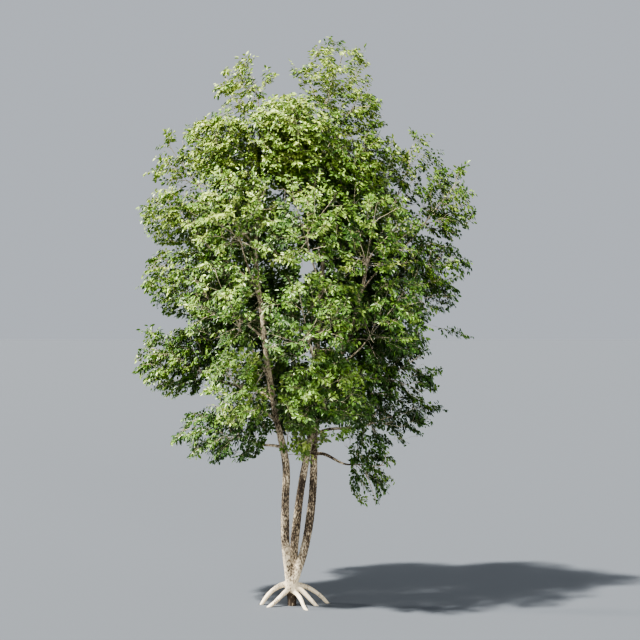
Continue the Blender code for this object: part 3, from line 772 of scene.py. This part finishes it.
def branchlet_tips(mass, rng):
    """Where the mass's branchlets end: more of them near its surface than in its middle."""
    centre, half = space_of(mass)
    spots = rng.uniform(-CORE_REACH, CORE_REACH, (BRANCHLET_SPOTS, 3))
    far = np.linalg.norm(spots, axis=1)
    inside = in_space(mass, centre + spots * half / BRANCHLET_SHARE)
    volume = inside.mean() * (2 * CORE_REACH) ** 3 * half.prod()
    inside &= (far > NEAREST_TIP) & (rng.uniform(0, 1, len(far)) < MIDDLE_CHANCE + far**2)
    count = round(BRANCHLETS_PER_M3 * FULLNESS.get(mass, 1.0) * volume)
    return spread(centre + spots[inside] * half, begins[mass][0], count)


# %% Branchlets
BRANCHLET_POINTS = 7
BRANCHLET_RADIUS, BRANCHLET_TIP_RADIUS = 0.0040, 0.0016
JOIN_SHARE = 0.85  # a branchlet is no thicker than this share of the wood that it grows from
KEEP_ON, TURN_OUT = 0.8, 0.9
OUTWARD, BRANCHLET_STRAY = (1, 1, 0.55), 0.35


def branchlets(mass, twigs, rng):
    """Branchlets that fill the mass's space from its main twigs. Later ones may grow from earlier ones."""
    start = begins[mass][0]
    tips = branchlet_tips(mass, rng)
    points = np.vstack([line for line, _ in twigs])
    onward = np.vstack([unit(np.gradient(line, axis=0)) for line, _ in twigs])
    girths = np.concatenate([radii for _, radii in twigs])
    grown = []
    wanted = [(tip, False) for tip in tips] + [(np.array(tip), True) for tip in SPRIGS.get(mass, ())]
    for tip, single in sorted(wanted, key=lambda pair: np.linalg.norm(pair[0] - start)):
        at = int(np.argmin(join_cost(points, onward, tip, start)))
        root, out = points[at], unit(tip - points[at])
        outward = unit((tip - CROWN_MIDDLE) * OUTWARD + rng.normal(0, BRANCHLET_STRAY, 3))
        leaving, arriving = unit(onward[at] * KEEP_ON + out), unit(out + outward * TURN_OUT)
        line = bend_path(root, leaving, tip, arriving, BRANCHLET_POINTS)
        thick = min(BRANCHLET_RADIUS, girths[at] * JOIN_SHARE)
        radii = taper(thick, BRANCHLET_TIP_RADIUS, BRANCHLET_POINTS)
        grown.append((line, radii, single))
        points = np.vstack([points, line[2:]])
        onward = np.vstack([onward, unit(np.gradient(line, axis=0))[2:]])
        girths = np.concatenate([girths, radii[2:]])
    return grown


all_branchlets, owners = [], []
for number, mass in enumerate(ORDER):
    grown = branchlets(mass, twigs_of[mass], np.random.default_rng(SEED * 100 + number))
    all_branchlets += grown
    owners += [number] * len(grown)
owners = np.array(owners)
lines = np.array([line for line, _, _ in all_branchlets])
single = np.array([is_single for _, _, is_single in all_branchlets])
print(len(all_branchlets), "branchlets,", int(single.sum()), "of them single sprigs")

# %% [markdown]
# ## Shoots
#
# A maple's shoots stand in opposite pairs. Each branchlet carries four pairs of short shoots, the lower
# ones mostly longer, and one at its tip. All of it is worked out for the whole tree at once, as arrays,
# because the tree has fifteen thousand shoots. The light decides on which sides a pair stands: a shoot's
# leaves look up and out from the crown's middle.

# %% Along the branchlets
LIGHT_SQUEEZE, LIGHT_OUT, LIGHT_UP = (1, 1, 0.15), 0.75, 0.60


def along_lines(lines, share):
    """Place and direction at a share of each line."""
    at = share * (lines.shape[1] - 1)
    low = min(int(at), lines.shape[1] - 2)
    step = lines[:, low + 1] - lines[:, low]
    return lines[:, low] + step * (at - low), unit(step)


def light_at(places):
    """The way a leaf there looks: up, and out from the crown's middle."""
    return unit(unit((places - CROWN_MIDDLE) * LIGHT_SQUEEZE) * LIGHT_OUT + np.array((0, 0, LIGHT_UP)))


lengths = np.linalg.norm(lines[:, -1] - lines[:, 0], axis=1)
print("a branchlet spans", round(float(np.median(lengths)), 2), "m, in the middle of the range")

# %% Shoots
SHOOT_SHARES = (0.42, 0.62, 0.80, 0.94)
SHOOT_LENGTH = 0.17
FIRST_PAIR, PAIR_FALL = 1.1, 0.12  # the first pair beside the usual length, and what each next one loses
SHOOT_ALONG, SHOOT_ASIDE, SHOOT_RISE = 0.75, 0.85, 0.10
SHOOT_STRAY, TIP_STRAY = 0.22, 0.15
grow = np.random.default_rng(SEED)
shoot_start, shoot_way, shoot_size, shoot_of = [], [], [], []


def add_shoots(place, way, size):
    """One shoot on every branchlet."""
    shoot_start.append(place)
    shoot_way.append(unit(way))
    shoot_size.append(size)
    shoot_of.append(np.arange(len(place)))


for step, share in enumerate(SHOOT_SHARES):
    place, along = along_lines(lines, share)
    aside = unit(np.cross(light_at(place), along))
    for turn in (-1, 1):
        stray = grow.normal(0, SHOOT_STRAY, place.shape)
        way = along * SHOOT_ALONG + aside * turn * SHOOT_ASIDE + stray + (0, 0, SHOOT_RISE)
        usual = SHOOT_LENGTH * (FIRST_PAIR - PAIR_FALL * step)
        add_shoots(place, way, usual * grow.uniform(0.7, 1.2, len(place)))
place, along = along_lines(lines, 1.0)
way = along + grow.normal(0, TIP_STRAY, place.shape)
add_shoots(place, way, SHOOT_LENGTH * grow.uniform(0.8, 1.2, len(place)))
shoot_start, shoot_way = np.vstack(shoot_start), np.vstack(shoot_way)
shoot_size, shoot_of = np.concatenate(shoot_size), np.concatenate(shoot_of)
print(len(shoot_of), "shoots before any is left out")

# %% [markdown]
# A crown's surface isn't smooth. Where a bough has grown less, the leaves stand deeper and shade gathers,
# and without that each mass would look like a ball. So a noise draws the surface of each mass in here and
# there, and a shoot that ends above it is left out. A shoot is also left out where its tip would leave its
# mass's space, come too near to a limb, or reach too far over the model. Only its tip is tested. The shoots
# of the single sprigs may leave the space, but not the other two.

# %% Where wood and leaves may be
OVER_MODEL = 0.10  # how far shoots and leaves may reach over the model's own box
AT_ONCE = 4000


def clear_of_limbs(points, room):
    """Which points are at least that far outside the stems and boughs, measured from their own points."""
    good = np.ones(len(points), bool)
    for low in range(0, len(points), AT_ONCE):
        far = np.linalg.norm(points[low : low + AT_ONCE, None] - limb_points[None], axis=2)
        good[low : low + AT_ONCE] = (far > limb_girths + room).all(axis=1)
    return good


def keeps(points, mass_index):
    """Which points lie in the space of the mass with that number."""
    good = np.zeros(len(points), bool)
    for number, name in enumerate(ORDER):
        own = mass_index == number
        good[own] = in_space(name, points[own])
    return good


def within_reach(points):
    """Which points lie inside the model's box, or not far over it."""
    low, high = np.array(cad_bounds)
    return ((points > low - OVER_MODEL) & (points < high + OVER_MODEL)).all(axis=1)


# %% Which shoots stay
LUMPS_PER_M, LUMP_DEPTH, LUMP_TOP = 2.2, 1.3, 1.08
WHOLE_MASSES = ("low_left", "lowest_left", "hanging")  # these have no depth to lose
SHOOT_ROOM = 0.01
SHOOT_RADII = (0.0016, 0.0012, 0.0008)
MIDDLE_SAG, END_SAG = 0.02, 0.12
sag = np.array((0, 0, -1.0))


def under_lumps(points, mass_index):
    """Which points lie under their mass's rough surface, which noise draws in here and there."""
    far = np.linalg.norm((points - CENTRES[mass_index]) / HALVES[mass_index], axis=1)
    lumps = np.array([noise.noise(Vector(place)) for place in (points * LUMPS_PER_M).tolist()])
    whole = np.isin(mass_index, [ORDER.index(name) for name in WHOLE_MASSES])
    return whole | (far / np.where(in_core(points), CORE_REACH, 1.0) < LUMP_TOP + LUMP_DEPTH * lumps)


middle = shoot_start + shoot_way * (shoot_size * 0.5)[:, None] + sag * (shoot_size * MIDDLE_SAG)[:, None]
end = shoot_start + shoot_way * shoot_size[:, None] + sag * (shoot_size * END_SAG)[:, None]
good = keeps(end, owners[shoot_of]) & under_lumps(end, owners[shoot_of]) | single[shoot_of]
good &= clear_of_limbs(end, SHOOT_ROOM) & within_reach(end)
shoots = np.stack([shoot_start, middle, end], axis=1)[good]
shoot_of = shoot_of[good]
shoot_radii = np.tile(np.array(SHOOT_RADII), (len(shoots), 1))
print(len(shoots), "shoots")

# %% [markdown]
# ## Leaves
#
# Leaves stand in opposite pairs as well, four pairs to a shoot and one leaf at its tip. They hang out on
# thin stalks, tip down a little, and turn their faces up and out to the light, each by its own amount. A
# leaf is only a place, a direction, a face and a size until the very end, so a hundred thousand of them
# take seconds.

# %% Leaves
LEAF_LENGTH = 0.061
LEAF_SHARES = (0.22, 0.47, 0.72, 0.96)
LEAF_ALONG, LEAF_ASIDE, LEAF_SAG = 0.55, 0.85, 0.45
LEAF_STRAY, FACE_STRAY = 0.30, 0.50
leaf_start, leaf_way, leaf_face, leaf_size, leaf_of = [], [], [], [], []


def add_leaves(share, turn):
    """One leaf on every shoot, at that share of it, to the left or the right of it or straight on."""
    place, along = along_lines(shoots, share)
    light = light_at(place)
    aside = unit(np.cross(light, along))
    stray = grow.normal(0, LEAF_STRAY, place.shape)
    way = along * (LEAF_ALONG if turn else 1.0) + aside * turn * LEAF_ASIDE + sag * LEAF_SAG + stray
    leaf_start.append(place)
    leaf_way.append(unit(way))
    leaf_face.append(light + grow.normal(0, FACE_STRAY, place.shape))
    leaf_size.append(LEAF_LENGTH * grow.uniform(0.72, 1.25, len(place)))
    leaf_of.append(np.arange(len(shoots)))


for share in LEAF_SHARES:
    add_leaves(share, -1)
    add_leaves(share, 1)
add_leaves(1.0, 0)
leaf_start, leaf_way, leaf_face = np.vstack(leaf_start), np.vstack(leaf_way), np.vstack(leaf_face)
leaf_size, leaf_of = np.concatenate(leaf_size), np.concatenate(leaf_of)
print(len(leaf_size), "leaves before any is left out")

# %% Which leaves stay
WITH_STALK = 1.3  # a leaf's whole reach, beside its blade
LEAF_ROOM = 0.004

tips = leaf_start + leaf_way * (leaf_size * WITH_STALK)[:, None]
good = keeps(tips, owners[shoot_of[leaf_of]]) | single[shoot_of[leaf_of]]
good &= clear_of_limbs(tips, LEAF_ROOM) & within_reach(tips)
leaf_start, leaf_way, leaf_face = leaf_start[good], leaf_way[good], leaf_face[good]
leaf_size, leaf_of = leaf_size[good], leaf_of[good]
print(len(leaf_size), "leaves keep to their space")

# %% [markdown]
# In front of the left stem the crown is thin, and the bare wood shows up to the middle of the tree. The
# other two stems show only where they come out of the crown. So most leaves right in front of them are
# left out.

# %% Bare wood in front of the stems
SEEN = {  # from which height to which height each stem shows, and how wide the gap is to either side of it
    "left": (2.30, 4.50, 0.10),
    "middle": (1.80, 2.15, 0.06),
    "right": (1.80, 2.50, 0.08),
}
SEEN_SHARE = 0.90

in_front = np.zeros(len(leaf_size), bool)
for name, (low, high, width) in SEEN.items():
    stem = stems[name][0]
    aside = abs(leaf_start[:, 0] - np.interp(leaf_start[:, 2], stem[:, 2], stem[:, 0]))
    ahead = leaf_start[:, 1] < np.interp(leaf_start[:, 2], stem[:, 2], stem[:, 1])
    in_front |= (leaf_start[:, 2] > low) & (leaf_start[:, 2] < high) & ahead & (aside < width)
good = ~in_front | (grow.uniform(0, 1, len(leaf_size)) > SEEN_SHARE)
leaf_start, leaf_way, leaf_face = leaf_start[good], leaf_way[good], leaf_face[good]
leaf_size, leaf_of = leaf_size[good], leaf_of[good]
print(len(leaf_size), "leaves")

# %% [markdown]
# ## One leaf
#
# Here a leaf is a plain oval with a pointed tip, folded a little along its midrib. It is modelled once, 1
# m long: a flat hexagon is cut in two along the midrib, its sides are drawn in and lifted, and its tip is
# let down. A long thin triangle is the stalk. Lobes would be too fine to see on a whole tree, and with so
# few faces a hundred thousand leaves stay light.

# %% One leaf
BLADE_RADIUS = 0.5
STALK, STALK_WIDTH = 0.30, 0.017  # beside the leaf's blade
NEAR_MIDRIB, NEAR_TIP = 0.01, 0.45


def move_points(chosen, scale=(1, 1, 1), shift=(0, 0, 0)):
    """Scales and shifts, in edit mode, those of the leaf's points that a test on their place picks."""
    bpy.ops.mesh.select_all(action="DESELECT")
    bpy.ops.object.mode_set(mode="OBJECT")
    for point in leaf.data.vertices:
        point.select = bool(chosen(point.co))
    bpy.ops.object.mode_set(mode="EDIT")
    bpy.ops.transform.resize(value=scale)
    bpy.ops.transform.translate(value=shift)


def at_side(place):
    """Whether a point of the leaf lies off its midrib."""
    return abs(place.x) > NEAR_MIDRIB


bpy.ops.object.select_all(action="DESELECT")
bpy.ops.mesh.primitive_circle_add(vertices=6, radius=BLADE_RADIUS, fill_type="NGON", location=(0, 0, 0))
leaf = bpy.context.object
leaf.name = "leaf"
bpy.ops.object.mode_set(mode="EDIT")
bpy.ops.mesh.select_mode(type="VERT")
move_points(lambda place: abs(place.x) < NEAR_MIDRIB)  # tip and base, to be joined by the midrib
bpy.ops.mesh.vert_connect()
move_points(at_side, scale=(0.54, 1, 1))
move_points(lambda place: at_side(place) and place.y > 0, scale=(0.88, 1, 1), shift=(0, -0.10, 0.03))
move_points(lambda place: at_side(place) and place.y < 0, shift=(0, -0.03, 0.07))
move_points(lambda place: place.y > NEAR_TIP, shift=(0, 0, -0.06))
move_points(lambda place: True, shift=(0, BLADE_RADIUS + STALK, 0))
print(len(leaf.data.vertices), "points in the blade")

# %% Its stalk
bpy.ops.mesh.primitive_circle_add(vertices=3, radius=1, fill_type="NGON", location=(0, 0, 0))
bpy.ops.transform.resize(value=(STALK_WIDTH, STALK / 1.5, 1), center_override=(0, 0, 0))
bpy.ops.transform.translate(value=(0, STALK / 3, 0))
bpy.ops.mesh.select_all(action="SELECT")
bpy.ops.mesh.quads_convert_to_tris()
bpy.ops.object.mode_set(mode="OBJECT")
# along the leaf, across it, and out of its face
LEAF_POINTS = np.array([(point.co.y, -point.co.x, point.co.z) for point in leaf.data.vertices])
LEAF_FACES = np.array([tuple(face.vertices) for face in leaf.data.polygons])
bpy.data.objects.remove(leaf)
print(len(LEAF_FACES), "faces in a leaf")

# %% [markdown]
# ## All leaves
#
# Each shoot's spray takes one green, by a score of chance and painted light. The chance is a good deal,
# part of it shared by the shoots of one branchlet. The painted light makes the greens lighter towards the
# top, the outside and the left, where the light comes from, and deeper where the crown shades itself; four
# low masses that lie in the crown's shade get lighter greens as painted light too. The shoots are then
# ranked by that score and shared out among the greens, so that each green keeps its share of the shoots
# however the score is set.

# %% A green for each shoot
# painted light: lighter greens for four low masses that the crown shades
PAINTED_LIGHT_MASSES = {"by_stems": 0.75, "low_front": 0.25, "low_front_right": 0.25, "hanging": 0.30}
# painted light: the greens get lighter towards the outside, the top and the lit left side
OUTER_GAIN, HEIGHT_GAIN, LEFT_GAIN = 0.45, 0.65, 0.30
OUTER_SPAN, HEIGHT_SPAN, LEFT_SPAN = CROWN_CORE * 1.25, 3.5, 5
SHARED_CHANCE, OWN_CHANCE = 0.16, 0.26
# the palest greens carry painted light as well as young growth, the deepest painted shade
GREEN_SHARES = (0.09, 0.17, 0.22, 0.21, 0.17, 0.14)  # of all shoots, from the youngest green to the deepest

ends = shoots[:, -1]
outer = np.linalg.norm((ends - CROWN_MIDDLE) / OUTER_SPAN, axis=1)
height = (ends[:, 2] - CROWN_MIDDLE[2]) / HEIGHT_SPAN
leftward = -(ends[:, 0] - CROWN_MIDDLE[0]) / LEFT_SPAN
shared = grow.normal(0, SHARED_CHANCE, len(lines))[shoot_of]
score = OUTER_GAIN * outer + HEIGHT_GAIN * height + LEFT_GAIN * leftward + shared
score += grow.normal(0, OWN_CHANCE, len(ends))
score += np.array([PAINTED_LIGHT_MASSES.get(name, 0.0) for name in ORDER])[owners[shoot_of]]
rank = np.argsort(np.argsort(-score)) / len(score)
last_green = len(GREEN_SHARES) - 1
green_of = np.searchsorted(np.cumsum(GREEN_SHARES), rank, side="right").clip(0, last_green)
leaf_green = green_of[leaf_of]
print("leaves of each green:", np.bincount(leaf_green).tolist())

# %% [markdown]
# The leaf is then laid at every leaf's place by arrays, and not as separate objects, which Blender handles
# slowly in such numbers. The leaves of one green make one mesh.

# %% Leaf meshes


def leaf_mesh(name, chosen, paint):
    """One mesh of all the chosen leaves."""
    way, face = leaf_way[chosen], leaf_face[chosen]
    aside = unit(np.cross(face, way))
    face = np.cross(way, aside)
    frames = np.stack([way, aside, face], axis=1) * leaf_size[chosen][:, None, None]
    verts = leaf_start[chosen][:, None] + np.einsum("vk,nkd->nvd", LEAF_POINTS, frames)
    faces = np.arange(len(verts))[:, None, None] * len(LEAF_POINTS) + LEAF_FACES
    return mesh_object(name, verts.reshape(-1, 3), faces.reshape(-1, 3), paint, smooth=False)


foliage = []
for number, (name, paint) in enumerate(leaf_paints.items()):
    foliage.append(leaf_mesh("leaves_" + name, leaf_green == number, paint))
print(len(foliage), "meshes of leaves")

# %% [markdown]
# ## Twigs and shoots as meshes
#
# They are tubes too, with fewer sides the finer they are: nobody sees the roundness of a shoot 3 mm
# thick. The shoots go in two meshes, above and below the crown's middle, so that no one mesh gets too
# large.

# %% Twig meshes
TWIG_SIDES, BRANCHLET_SIDES, SHOOT_SIDES = 6, 4, 3

verts, faces = tubes(np.array([line for line, _ in all_twigs]),
                     np.array([radii for _, radii in all_twigs]), TWIG_SIDES)
foliage.append(mesh_object("main_twigs", verts, faces, twig_paint))
verts, faces = tubes(lines, np.array([radii for _, radii, _ in all_branchlets]), BRANCHLET_SIDES)
foliage.append(mesh_object("branchlets", verts, faces, twig_paint))
upper = shoots[:, 0, 2] > CROWN_MIDDLE[2]
for name, chosen in (("shoots_high", upper), ("shoots_low", ~upper)):
    verts, faces = tubes(shoots[chosen], shoot_radii[chosen], SHOOT_SIDES)
    foliage.append(mesh_object(name, verts, faces, shoot_paint))
print(len(foliage), "meshes in the crown")

# %% Onto the frame
for piece in foliage:
    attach(piece, "root")
    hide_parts(*foliage_nodes)
triangles = sum(len(p.vertices) - 2 for piece in (trunk_skin, boughs, *foliage) for p in piece.data.polygons)
print(triangles, "triangles in all")

# %% [markdown]
# ## Floor, light and camera
#
# A plain floor in an even blue-grey. Three lights: a strong one high on the left and in front, as the sun
# stands late on a summer morning, a low one from the left and a little behind that gives the stems a bright
# edge, and a weak low one from the front that fills the shade. An even sky lights the rest. The camera is
# level, at half the tree's height and far away, so that the stems stay upright and the crown isn't seen
# from below.

# %% Floor
bpy.ops.mesh.primitive_plane_add(size=600, location=(0, 0, 0))
floor = bpy.context.object
floor.name = "floor"
floor.data.materials.append(plain("floor", (0.101, 0.113, 0.131), 0.9, 0.2))
print("the floor is", round(floor.dimensions.x), "m wide")

# %% Lights
LIGHT_COLOUR = (1.0, 0.95, 0.86)
LIGHTS = {  # the way to the light, its strength, and its width in degrees
    "key": ((-0.50, -0.38, 1.00), 10.0, 3),
    "low": ((-0.95, 0.12, 0.22), 5.0, 8),
    "fill": ((0.20, -0.95, 0.18), 1.8, 20),
}
for name, (way, strength, width) in LIGHTS.items():
    data = bpy.data.lights.new(name, "SUN")
    data.energy = strength
    data.angle = math.radians(width)
    data.color = LIGHT_COLOUR
    light = bpy.data.objects.new(name, data)
    light.rotation_euler = Vector(way).to_track_quat("Z", "Y").to_euler()
    bpy.context.scene.collection.objects.link(light)
print(len(LIGHTS), "lights")

# %% Sky and camera
SKY_COLOUR, SKY_STRENGTH = (0.80, 0.85, 0.92), 0.50
SENSOR, LENS, FARTHEST = 36, 87.6, 1000  # the first two in millimetres, the last in metres
CAMERA_PLACE = (0.396, -22.0, 4.03)

world = bpy.data.worlds.new("sky")
world.use_nodes = True
world.node_tree.nodes["Background"].inputs["Color"].default_value = (*SKY_COLOUR, 1)
world.node_tree.nodes["Background"].inputs["Strength"].default_value = SKY_STRENGTH
bpy.context.scene.world = world

camera_data = bpy.data.cameras.new("camera")
camera_data.sensor_width = SENSOR
camera_data.lens = LENS
camera_data.clip_end = FARTHEST
camera = bpy.data.objects.new("camera", camera_data)
camera.location = CAMERA_PLACE
camera.rotation_euler = (math.radians(90), 0, 0)
bpy.context.scene.collection.objects.link(camera)
bpy.context.scene.camera = camera
bpy.context.scene.view_settings.look = "AgX - High Contrast"
print("the camera sees", round(math.degrees(camera_data.angle), 1), "degrees")
